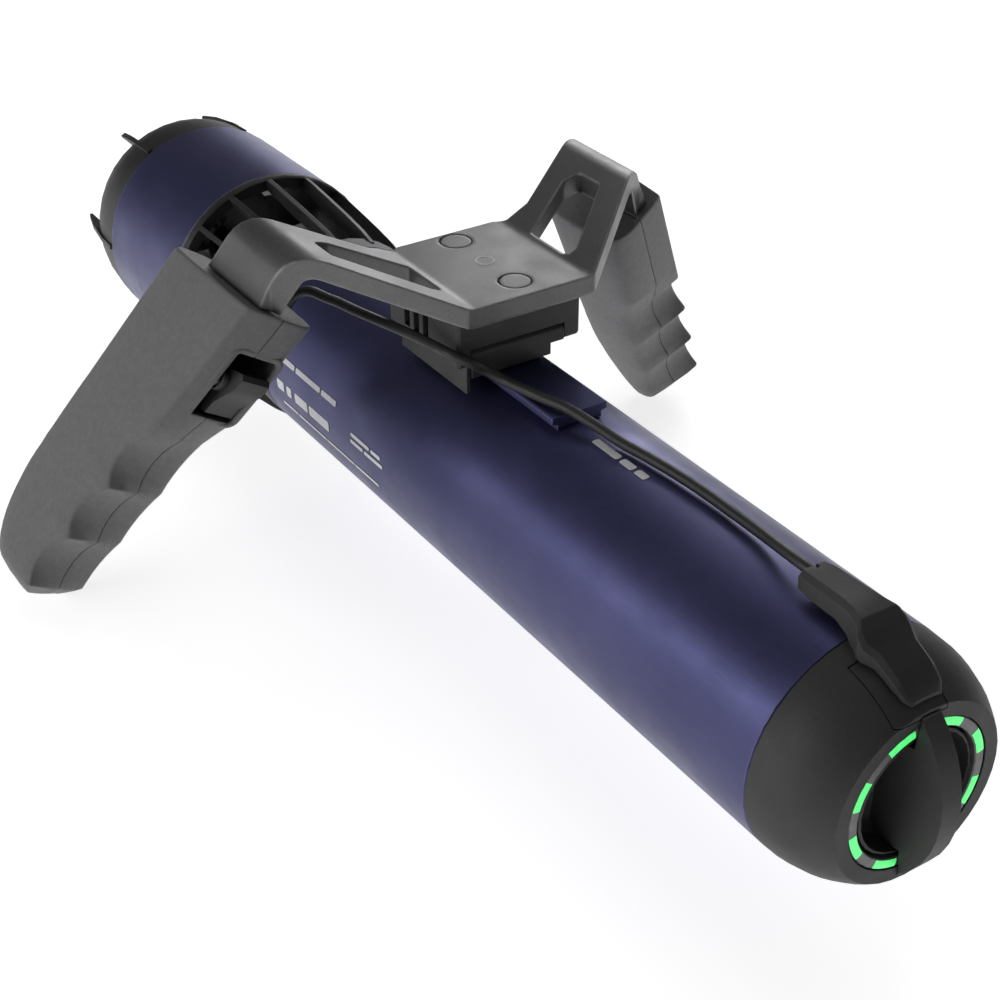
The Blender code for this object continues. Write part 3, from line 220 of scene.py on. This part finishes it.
def rubber_finish(name, base, grain):
    s = Shader(name)
    dust = s.remap(s.noise(180.0, 4.0), 0.45, 0.75, 0.0, 0.35)
    s.link(s.blend(dust, base, [c * 1.8 + 0.004 for c in base]), s.principled.inputs["Base Color"])
    s.link(s.remap(s.noise(90.0), 0.3, 0.7, 0.55, 0.75), s.principled.inputs["Roughness"])
    s.link(s.bump(s.noise(grain, 3.0), 0.4, 0.00003), s.principled.inputs["Normal"])
    s.set(Sheen_Weight=0.15, Sheen_Roughness=0.5)
    return s.material


def jacket_finish(name):
    """The lead's extruded jacket: faint lines along it and a little dust."""
    s = Shader(name)
    lines = s.noise(1.0, 3.0, s.stretched((240.0, 2600.0, 2600.0)))
    dust = s.remap(s.noise(220.0, 4.0), 0.45, 0.75, 0.0, 0.4)
    s.link(s.blend(dust, (0.017, 0.017, 0.018), (0.038, 0.038, 0.039)), s.principled.inputs["Base Color"])
    s.link(s.remap(lines, 0.3, 0.7, 0.42, 0.58), s.principled.inputs["Roughness"])
    s.link(s.bump(lines, 0.3, 0.00004), s.principled.inputs["Normal"])
    s.set(Specular_IOR_Level=0.45)
    return s.material


def lens_finish(name, base, glow, strength):
    """A lit light-pipe segment, glowing brighter in patches, with the moulded frosting of a diffuser."""
    s = Shader(name)
    frost = s.noise(2600.0, 2.0)
    patch = s.remap(s.noise(420.0, 3.0), 0.3, 0.7, 0.0, 1.0)
    s.link(s.blend(patch, base, glow), s.principled.inputs["Base Color"])
    s.link(s.blend(patch, [c * 0.85 for c in glow], glow), s.principled.inputs["Emission Color"])
    s.link(s.remap(frost, 0.3, 0.7, 0.28, 0.42), s.principled.inputs["Roughness"])
    s.link(s.bump(frost, 0.3, 0.00003), s.principled.inputs["Normal"])
    s.set(Emission_Strength=strength)
    return s.material


def winding_finish(name):
    s = Shader(name)
    wires = s.node("ShaderNodeTexWave", {"Vector": s.where, "Scale": 900.0, "Distortion": 1.5, "Detail": 2.0},
                   bands_direction="X").outputs["Fac"]
    s.link(s.blend(wires, (0.30, 0.09, 0.03), (0.72, 0.33, 0.13)), s.principled.inputs["Base Color"])
    s.link(s.remap(wires, 0.0, 1.0, 0.45, 0.25), s.principled.inputs["Roughness"])
    s.link(s.bump(wires, 0.6, 0.0001), s.principled.inputs["Normal"])
    s.set(Metallic=0.9)
    return s.material


def board_finish(name):
    """Circuit board: solder mask with tracks and pads under it."""
    s = Shader(name)
    cells = s.node("ShaderNodeTexVoronoi", {"Vector": s.where, "Scale": 420.0}, feature="DISTANCE_TO_EDGE")
    track = s.remap(cells.outputs["Distance"], 0.05, 0.09, 1.0, 0.0)
    pads = s.remap(s.node("ShaderNodeTexVoronoi", {"Vector": s.where, "Scale": 300.0}).outputs["Distance"],
                   0.12, 0.16, 1.0, 0.0)
    green = s.blend(track, (0.010, 0.110, 0.040), (0.030, 0.230, 0.080))
    s.link(s.blend(pads, green, (0.55, 0.42, 0.14)), s.principled.inputs["Base Color"])
    s.link(s.math("MULTIPLY", pads, 0.9), s.principled.inputs["Metallic"])
    s.link(s.bump(track, 0.4, 0.00003), s.principled.inputs["Normal"])
    s.set(Roughness=0.35)
    return s.material


def wrap_finish(name):
    """Shrink wrap over the cells, wrinkled across."""
    s = Shader(name)
    wrinkle = s.noise(1.0, 3.0, s.stretched((900.0, 120.0, 120.0)))
    s.link(s.blend(s.remap(wrinkle, 0.35, 0.65, 0.0, 1.0), (0.03, 0.12, 0.24), (0.07, 0.22, 0.38)),
           s.principled.inputs["Base Color"])
    s.link(s.bump(wrinkle, 0.5, 0.0001), s.principled.inputs["Normal"])
    s.set(Roughness=0.30, Coat_Weight=0.3)
    return s.material


def anodised_finish(name):
    """Blasted and dyed aluminium: deep navy, even, with very fine drawn lines along the tube."""
    s = Shader(name)
    lines = s.noise(1.0, 3.0, s.stretched((180.0, 5200.0, 5200.0)))
    cloud = s.remap(s.noise(22.0, 4.0), 0.35, 0.65, 0.0, 1.0)
    soft, edge = s.edges(0.0005)
    colour = s.blend(cloud, (0.050, 0.052, 0.135), (0.062, 0.063, 0.158))
    colour = s.blend(s.remap(lines, 0.4, 0.7, 0.0, 0.20), colour, (0.110, 0.110, 0.240))
    # Edges are painted a lighter navy: a painted highlight.
    s.link(s.blend(edge, colour, (0.220, 0.220, 0.400)), s.principled.inputs["Base Color"])
    s.link(s.remap(s.noise(70.0, 3.0), 0.3, 0.7, 0.36, 0.46), s.principled.inputs["Roughness"])
    s.link(s.bump(s.noise(3800.0, 2.0), 0.35, 0.00003, soft), s.principled.inputs["Normal"])
    s.set(Metallic=0.75)
    return s.material


def make_finishes():
    return {
        "navy_anodised": anodised_finish("navy_anodised"),
        "charcoal_plastic": textured_finish(
            "charcoal_plastic", (0.020, 0.020, 0.020), (0.026, 0.026, 0.026), 0.60, 2600.0, 0.00008,
            (0.055, 0.055, 0.055)),
        "black_plastic": textured_finish(
            "black_plastic", (0.009, 0.009, 0.010), (0.014, 0.014, 0.015), 0.50, 2200.0, 0.00005,
            (0.035, 0.035, 0.036)),
        # The handle's light edge colour is a painted highlight: the bright band along its chamfers.
        "satin_grey": textured_finish(
            "satin_grey", (0.105, 0.105, 0.107), (0.125, 0.125, 0.127), 0.40, 3200.0, 0.00004,
            (0.340, 0.340, 0.345), metallic=0.55, edge_radius=0.0014),
        "grip_grey": textured_finish(
            "grip_grey", (0.086, 0.086, 0.087), (0.098, 0.098, 0.099), 0.60, 1900.0, 0.00012,
            (0.150, 0.150, 0.151), mottle=320.0, edge_radius=0.0012, Sheen_Weight=0.10),
        "seal_rubber": rubber_finish("seal_rubber", (0.010, 0.010, 0.010), 1500.0),
        "lead_jacket": jacket_finish("lead_jacket"),
        "light_diffuser": lens_finish("light_diffuser", (0.10, 0.10, 0.10), (0.16, 0.16, 0.16), 0.0),
        "light_lit": lens_finish("light_lit", (0.05, 0.55, 0.12), (0.10, 0.95, 0.22), 0.75),
        "red_plastic": textured_finish(
            "red_plastic", (0.420, 0.030, 0.018), (0.520, 0.040, 0.024), 0.40, 2400.0, 0.00004,
            (0.650, 0.160, 0.120), Coat_Weight=0.2),
        "stainless_steel": brushed_finish("stainless_steel", (0.42, 0.42, 0.43), (0.62, 0.62, 0.63), 0.28, 2),
        "bare_aluminium": brushed_finish("bare_aluminium", (0.50, 0.50, 0.52), (0.68, 0.68, 0.70), 0.36, 0),
        "copper_winding": winding_finish("copper_winding"),
        "rotor_steel": brushed_finish("rotor_steel", (0.18, 0.18, 0.19), (0.32, 0.32, 0.33), 0.34, 0),
        "cell_wrap": wrap_finish("cell_wrap"),
        "print_white": textured_finish(
            "print_white", (0.62, 0.62, 0.64), (0.74, 0.74, 0.76), 0.55, 3000.0, 0.00002),
        "circuit_board": board_finish("circuit_board"),
    }


def smoothing(degrees):
    """A modifier's node group: joins the mesh up, then shades it smooth except where edges bend more."""
    group = bpy.data.node_groups.new(f"smooth_below_{degrees:.0f}", "GeometryNodeTree")
    group.interface.new_socket("Geometry", in_out="INPUT", socket_type="NodeSocketGeometry")
    group.interface.new_socket("Geometry", in_out="OUTPUT", socket_type="NodeSocketGeometry")
    start, end = group.nodes.new("NodeGroupInput"), group.nodes.new("NodeGroupOutput")
    merge = group.nodes.new("GeometryNodeMergeByDistance")
    merge.inputs["Distance"].default_value = 2e-6
    faces = group.nodes.new("GeometryNodeSetShadeSmooth")
    edges = group.nodes.new("GeometryNodeSetShadeSmooth")
    edges.domain = "EDGE"
    edges.inputs["Shade Smooth"].default_value = False
    angle = group.nodes.new("GeometryNodeInputMeshEdgeAngle")
    compare = group.nodes.new("FunctionNodeCompare")
    compare.data_type = "FLOAT"
    compare.operation = "GREATER_THAN"
    compare.inputs[1].default_value = math.radians(degrees)
    links = (
        (start.outputs[0], merge.inputs["Geometry"]), (merge.outputs["Geometry"], faces.inputs["Geometry"]),
        (faces.outputs["Geometry"], edges.inputs["Geometry"]), (edges.outputs["Geometry"], end.inputs[0]),
        (angle.outputs["Unsigned Angle"], compare.inputs[0]),
        (compare.outputs["Result"], edges.inputs["Selection"]),
    )
    for output, target in links:
        group.links.new(output, target)
    return group


def dress_nodes(finishes):
    """Each CAD node's own material slot, with its curved faces shaded smooth."""
    slot_of = {part["node"]: part["material_slot"] for part in frame["record"]["subparts"]}
    crisp, soft = smoothing(CRISP_EDGES), smoothing(SOFT_EDGES)
    for name, node in NODES.items():
        painted(node, finishes[slot_of[name]])
        given = node.data.attributes.get("custom_normal")
        if given:
            node.data.attributes.remove(given)
        node.modifiers.new("smooth", "NODES").node_group = soft if slot_of[name] == "grip_grey" else crisp
        weights = node.modifiers.new("flat_faces_stay_flat", "WEIGHTED_NORMAL")
        weights.keep_sharp = True
        weights.weight = 90


# ---------------------------------------------------------------- pieces

def piece(name, mesh, material, body):
    made = bpy.data.objects.new(name, mesh)
    bpy.context.scene.collection.objects.link(made)
    made.data.materials.append(material)
    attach(made, body)
    return made


def swept(name, rings, closed=False):
    """A mesh over rings of points; an open run is closed at both ends by a fan."""
    points = [p for ring in rings for p in ring]
    count, around = len(rings), len(rings[0])
    faces = []
    for i in range(count if closed else count - 1):
        for j in range(around):
            after = (i + 1) % count
            faces.append((i * around + j, i * around + (j + 1) % around,
                          after * around + (j + 1) % around, after * around + j))
    if not closed:
        faces.append(tuple(range(around - 1, -1, -1)))
        faces.append(tuple((count - 1) * around + j for j in range(around)))
    mesh = bpy.data.meshes.new(name)
    mesh.from_pydata(points, [], faces)
    shape = bmesh.new()
    shape.from_mesh(mesh)
    bmesh.ops.recalc_face_normals(shape, faces=shape.faces)
    shape.to_mesh(mesh)
    shape.free()
    mesh.shade_smooth()
    mesh.set_sharp_from_angle(angle=math.radians(PIECE_EDGES))
    return mesh


def around_tube(x, radius, degrees):
    """A point at a radius from the tube's axis; 0 degrees is straight up and 90 is the rider's left."""
    turn = math.radians(degrees)
    return Vector((x, radius * math.sin(turn), AXIS_Z + radius * math.cos(turn)))


def make_lenses(finishes):
    """The ring's eight lit segments, each a low crowned lens that stands just proud of the ring."""
    low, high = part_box("light_ring")
    outer = high.y - 0.0003
    inner = outer - 0.0024
    face = high.x
    lit_degrees, pitch = 22.5, 45.0
    for i in range(8):
        middle = pitch * (i + 0.5)
        rings = []
        for step in range(10):
            angle = middle + lit_degrees * (step / 9.0 - 0.5)
            ring = [around_tube(face - 0.0004, inner, angle)]
            for k in range(7):
                share = k / 6.0
                crown = 0.00002 + 0.00016 * math.sin(math.pi * share)
                ring.append(around_tube(face + crown, inner + (outer - inner) * share, angle))
            ring.append(around_tube(face - 0.0004, outer, angle))
            rings.append(ring)
        piece(f"light_lens_{i}", swept(f"light_lens_{i}", rings), finishes["light_lit"], "frame")


def make_hoop(name, x, radius, thick, material):
    """A thin round hoop about the tube's axis."""
    rings = []
    for i in range(96):
        angle = 360.0 * i / 96.0
        rings.append([around_tube(x + thick * math.sin(math.radians(a)),
                                  radius + thick * math.cos(math.radians(a)), angle)
                      for a in range(0, 360, 45)])
    return piece(name, swept(name, rings, closed=True), material, "frame")


LEAD_DIAMETER = 0.0033
LEAD_ROUTE = [
    on_right_grip(0.0030, 0.0215, 0.0125), on_right_grip(0.0030, 0.0265, 0.0125),
    on_right_grip(0.0030, 0.0305, 0.0125),
    station(0.2887, -0.0440, 0.0520), station(0.2970, -0.0380, 0.0514), station(0.3050, -0.0335, 0.0496),
    station(0.3139, -0.0300, 0.0488), station(0.3270, -0.0268, 0.0490), station(0.3395, -0.0252, 0.0497),
    station(0.3468, -0.0242, 0.0500), station(0.3498, -0.0205, 0.0480), station(0.3505, -0.0150, 0.0440),
    station(0.3535, -0.0113, 0.0413), station(0.3604, -0.0094, 0.0410), station(0.3700, -0.0070, 0.0410),
    station(0.3780, -0.0048, 0.0410), station(0.3880, -0.0018, 0.0392), station(0.3980, 0.0008, 0.0373),
    station(0.4080, 0.0026, 0.0370), station(0.4250, 0.0043, 0.0369), station(0.4440, 0.0046, 0.0369),
    station(0.4570, 0.0038, 0.0376), station(0.4690, 0.0012, 0.0399), station(0.4760, 0.0001, 0.0409),
    station(0.4806, 0.0000, 0.0410),
]


def make_lead(finishes):
    """The control lead, from the gland in the right grip, over the tube and into its plug on the nose."""
    curve = bpy.data.curves.new("lead", "CURVE")
    curve.dimensions = "3D"
    curve.bevel_depth = LEAD_DIAMETER / 2.0
    curve.bevel_resolution = 5
    curve.resolution_u = 8
    curve.use_fill_caps = True
    run = curve.splines.new("BEZIER")
    run.bezier_points.add(len(LEAD_ROUTE) - 1)
    for knot, place in zip(run.bezier_points, LEAD_ROUTE):
        knot.co = place
        knot.handle_left_type = knot.handle_right_type = "AUTO"
    lead = piece("lead", curve, finishes["lead_jacket"], "frame")
    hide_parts("control_lead")


# The trigger's opening on the right grip's front, as lowest and highest v and s.
OPENING_V = (0.0052, 0.0214)
OPENING_S = (0.0136, 0.0412)
OPENING_CORNER_R = 0.0032
RIM_R = 0.0012
BOSS_U, BOSS_S = 0.0272, 0.0266


def opening_outline():
    """The opening's edge as (v, s) points, with round corners."""
    corners = ((OPENING_V[0], OPENING_S[0], 1, 1), (OPENING_V[1], OPENING_S[0], -1, 1),
               (OPENING_V[1], OPENING_S[1], -1, -1), (OPENING_V[0], OPENING_S[1], 1, -1))
    path = []
    for v, s, toward_v, toward_s in corners:
        start = math.atan2(-toward_s, -toward_v)
        for step in range(-3, 4):
            turn = start + math.radians(15.0 * step)
            path.append((v + toward_v * OPENING_CORNER_R + OPENING_CORNER_R * math.cos(turn),
                         s + toward_s * OPENING_CORNER_R + OPENING_CORNER_R * math.sin(turn)))
    return path


def make_trigger_trim(finishes):
    """The raised rim round the trigger's opening, and the boss on the trigger's side."""
    path = opening_outline()
    rings = []
    for i, (v, s) in enumerate(path):
        ahead, behind = path[(i + 1) % len(path)], path[i - 1]
        run = Vector((ahead[0] - behind[0], ahead[1] - behind[1])).normalized()
        out = Vector((run.y, -run.x))
        face_u = 0.0284 + 0.10 * v
        ring = []
        for k in range(8):
            angle = math.radians(45.0 * k)
            off = RIM_R * math.cos(angle)
            ring.append(on_right_grip(face_u + 0.9 * RIM_R * math.sin(angle),
                                      v + out.x * off, s + out.y * off))
        rings.append(ring)
    rim = swept("trigger_rim", rings, closed=True)
    piece("trigger_rim", rim, finishes["grip_grey"], "frame")

    section = [(0.0098, 0.0036), (0.0079, 0.0036), (0.0076, 0.0033), (0.0076, 0.0029), (0.0079, 0.0026),
               (0.0098, 0.0026)]
    rings = []
    for i in range(28):
        turn = math.tau * i / 28.0
        rings.append([on_right_grip(BOSS_U + r * math.cos(turn), v, BOSS_S + r * math.sin(turn))
                      for v, r in section])
    boss = swept("trigger_boss", rings, closed=True)
    piece("trigger_boss", boss, finishes["charcoal_plastic"], "throttle")


PRINT_LIFT = 0.00004
PRINT_ROWS = (
    # degrees round the tube from the top, height of the bars, and where each bar starts and ends
    (-75.7, 0.0020, ((0.2514, 0.2600), (0.2610, 0.2780), (0.2790, 0.2890))),
    (-92.7, 0.0038, ((0.2480, 0.2530), (0.2550, 0.2585), (0.2610, 0.2700), (0.2712, 0.2850))),
    (-104.0, 0.0011, ((0.2502, 0.2610), (0.2618, 0.2810), (0.2818, 0.3000), (0.3008, 0.3160))),
    (-84.5, 0.0013, ((0.3000, 0.3120), (0.3130, 0.3190))),
    (-88.5, 0.0013, ((0.3000, 0.3080), (0.3090, 0.3205))),
    (-4.0, 0.0026, ((0.3890, 0.4010), (0.4022, 0.4080), (0.4092, 0.4140))),
)
PLATE_PRINT_MIDDLE = station(0.3269, 0.0, 0.0665)
PLATE_PRINT_SECTION = ((0.0024, -0.0001), (0.0024, 0.00006), (0.0031, 0.00006), (0.0031, -0.0001))


def make_marks(finishes):
    """Plain printed bars where such an object carries small print, and a plain ring on the handle plate."""
    for number, (degrees, height, spans) in enumerate(PRINT_ROWS):
        mesh = bpy.data.meshes.new(f"print_row_{number}")
        points, faces = [], []
        half = math.degrees(height / 2.0 / TUBE_R)
        for low, high in spans:
            base = len(points)
            for step in range(5):
                turn = degrees + half * (step / 2.0 - 1.0)
                inset = 0.0004 if step in (0, 4) else 0.0
                points += [around_tube(STATION.x + low + inset, TUBE_R + PRINT_LIFT, turn),
                           around_tube(STATION.x + high - inset, TUBE_R + PRINT_LIFT, turn)]
            faces += [(base + 2 * k, base + 2 * k + 1, base + 2 * k + 3, base + 2 * k + 2) for k in range(4)]
        mesh.from_pydata(points, [], faces)
        mesh.shade_smooth()
        piece(f"print_row_{number}", mesh, finishes["print_white"], "frame")
    rings = []
    for i in range(48):
        turn = math.tau * i / 48.0
        rings.append([PLATE_PRINT_MIDDLE + Vector((r * math.cos(turn), r * math.sin(turn), z))
                      for r, z in PLATE_PRINT_SECTION])
    piece("plate_print", swept("plate_print", rings, closed=True), finishes["print_white"], "frame")


def make_all():
    finishes = make_finishes()
    dress_nodes(finishes)
    make_lenses(finishes)
    make_lead(finishes)
    make_trigger_trim(finishes)
    make_marks(finishes)
    # A light grey hoop at the duct's front lip: a painted highlight for the light caught by the lip's
    # chamfer.
    low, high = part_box("duct_shroud")
    make_hoop("duct_lip_highlight_ring", high.x + 0.00015, high.y - 0.0004, 0.00035, finishes["satin_grey"])


# ---------------------------------------------------------------- stage, light and camera

def make_stage():
    mesh = bpy.data.meshes.new("floor")
    level = CAD_BOX[0].z - FLOOR_GAP
    corners = [(FLOOR_REACH * x, FLOOR_REACH * y, level) for x, y in ((-1, -1), (1, -1), (1, 1), (-1, 1))]
    mesh.from_pydata(corners, [], [(0, 1, 2, 3)])
    floor = bpy.data.objects.new("floor", mesh)
    bpy.context.scene.collection.objects.link(floor)
    s = Shader("floor_white")
    s.set(Base_Color=(0.90, 0.90, 0.90, 1.0), Roughness=0.9, Emission_Color=(1.0, 1.0, 1.0, 1.0),
          Emission_Strength=0.74)
    floor.data.materials.append(s.material)


def area_light(name, place, size, power):
    light = bpy.data.lights.new(name, "AREA")
    light.shape = "RECTANGLE"
    light.size, light.size_y = size
    light.energy = power
    lamp = bpy.data.objects.new(name, light)
    bpy.context.scene.collection.objects.link(lamp)
    lamp.location = place
    lamp.rotation_euler = (-Vector(place)).to_track_quat("-Z", "Y").to_euler()


def make_light():
    world = bpy.data.worlds.new("studio")
    bpy.context.scene.world = world
    world.use_nodes = True
    background = world.node_tree.nodes["Background"]
    background.inputs["Color"].default_value = (1.0, 1.0, 1.0, 1.0)
    background.inputs["Strength"].default_value = WORLD_STRENGTH
    for name, place, size, power in LAMPS:
        area_light(name, place, size, power)


def make_camera():
    """The main view: from ahead, above and to the object's right."""
    camera = bpy.data.objects.new("camera", bpy.data.cameras.new("camera"))
    bpy.context.scene.collection.objects.link(camera)
    camera.location = CAMERA_PLACE
    camera.rotation_euler = (CAMERA_TARGET - CAMERA_PLACE).to_track_quat("-Z", "Y").to_euler()
    camera.data.sensor_width = 36.0
    camera.data.lens = CAMERA_LENS_MM
    camera.data.clip_start = 0.01
    bpy.context.scene.camera = camera


make_all()
make_stage()
make_light()
make_camera()
bpy.context.scene.view_settings.view_transform = "Standard"
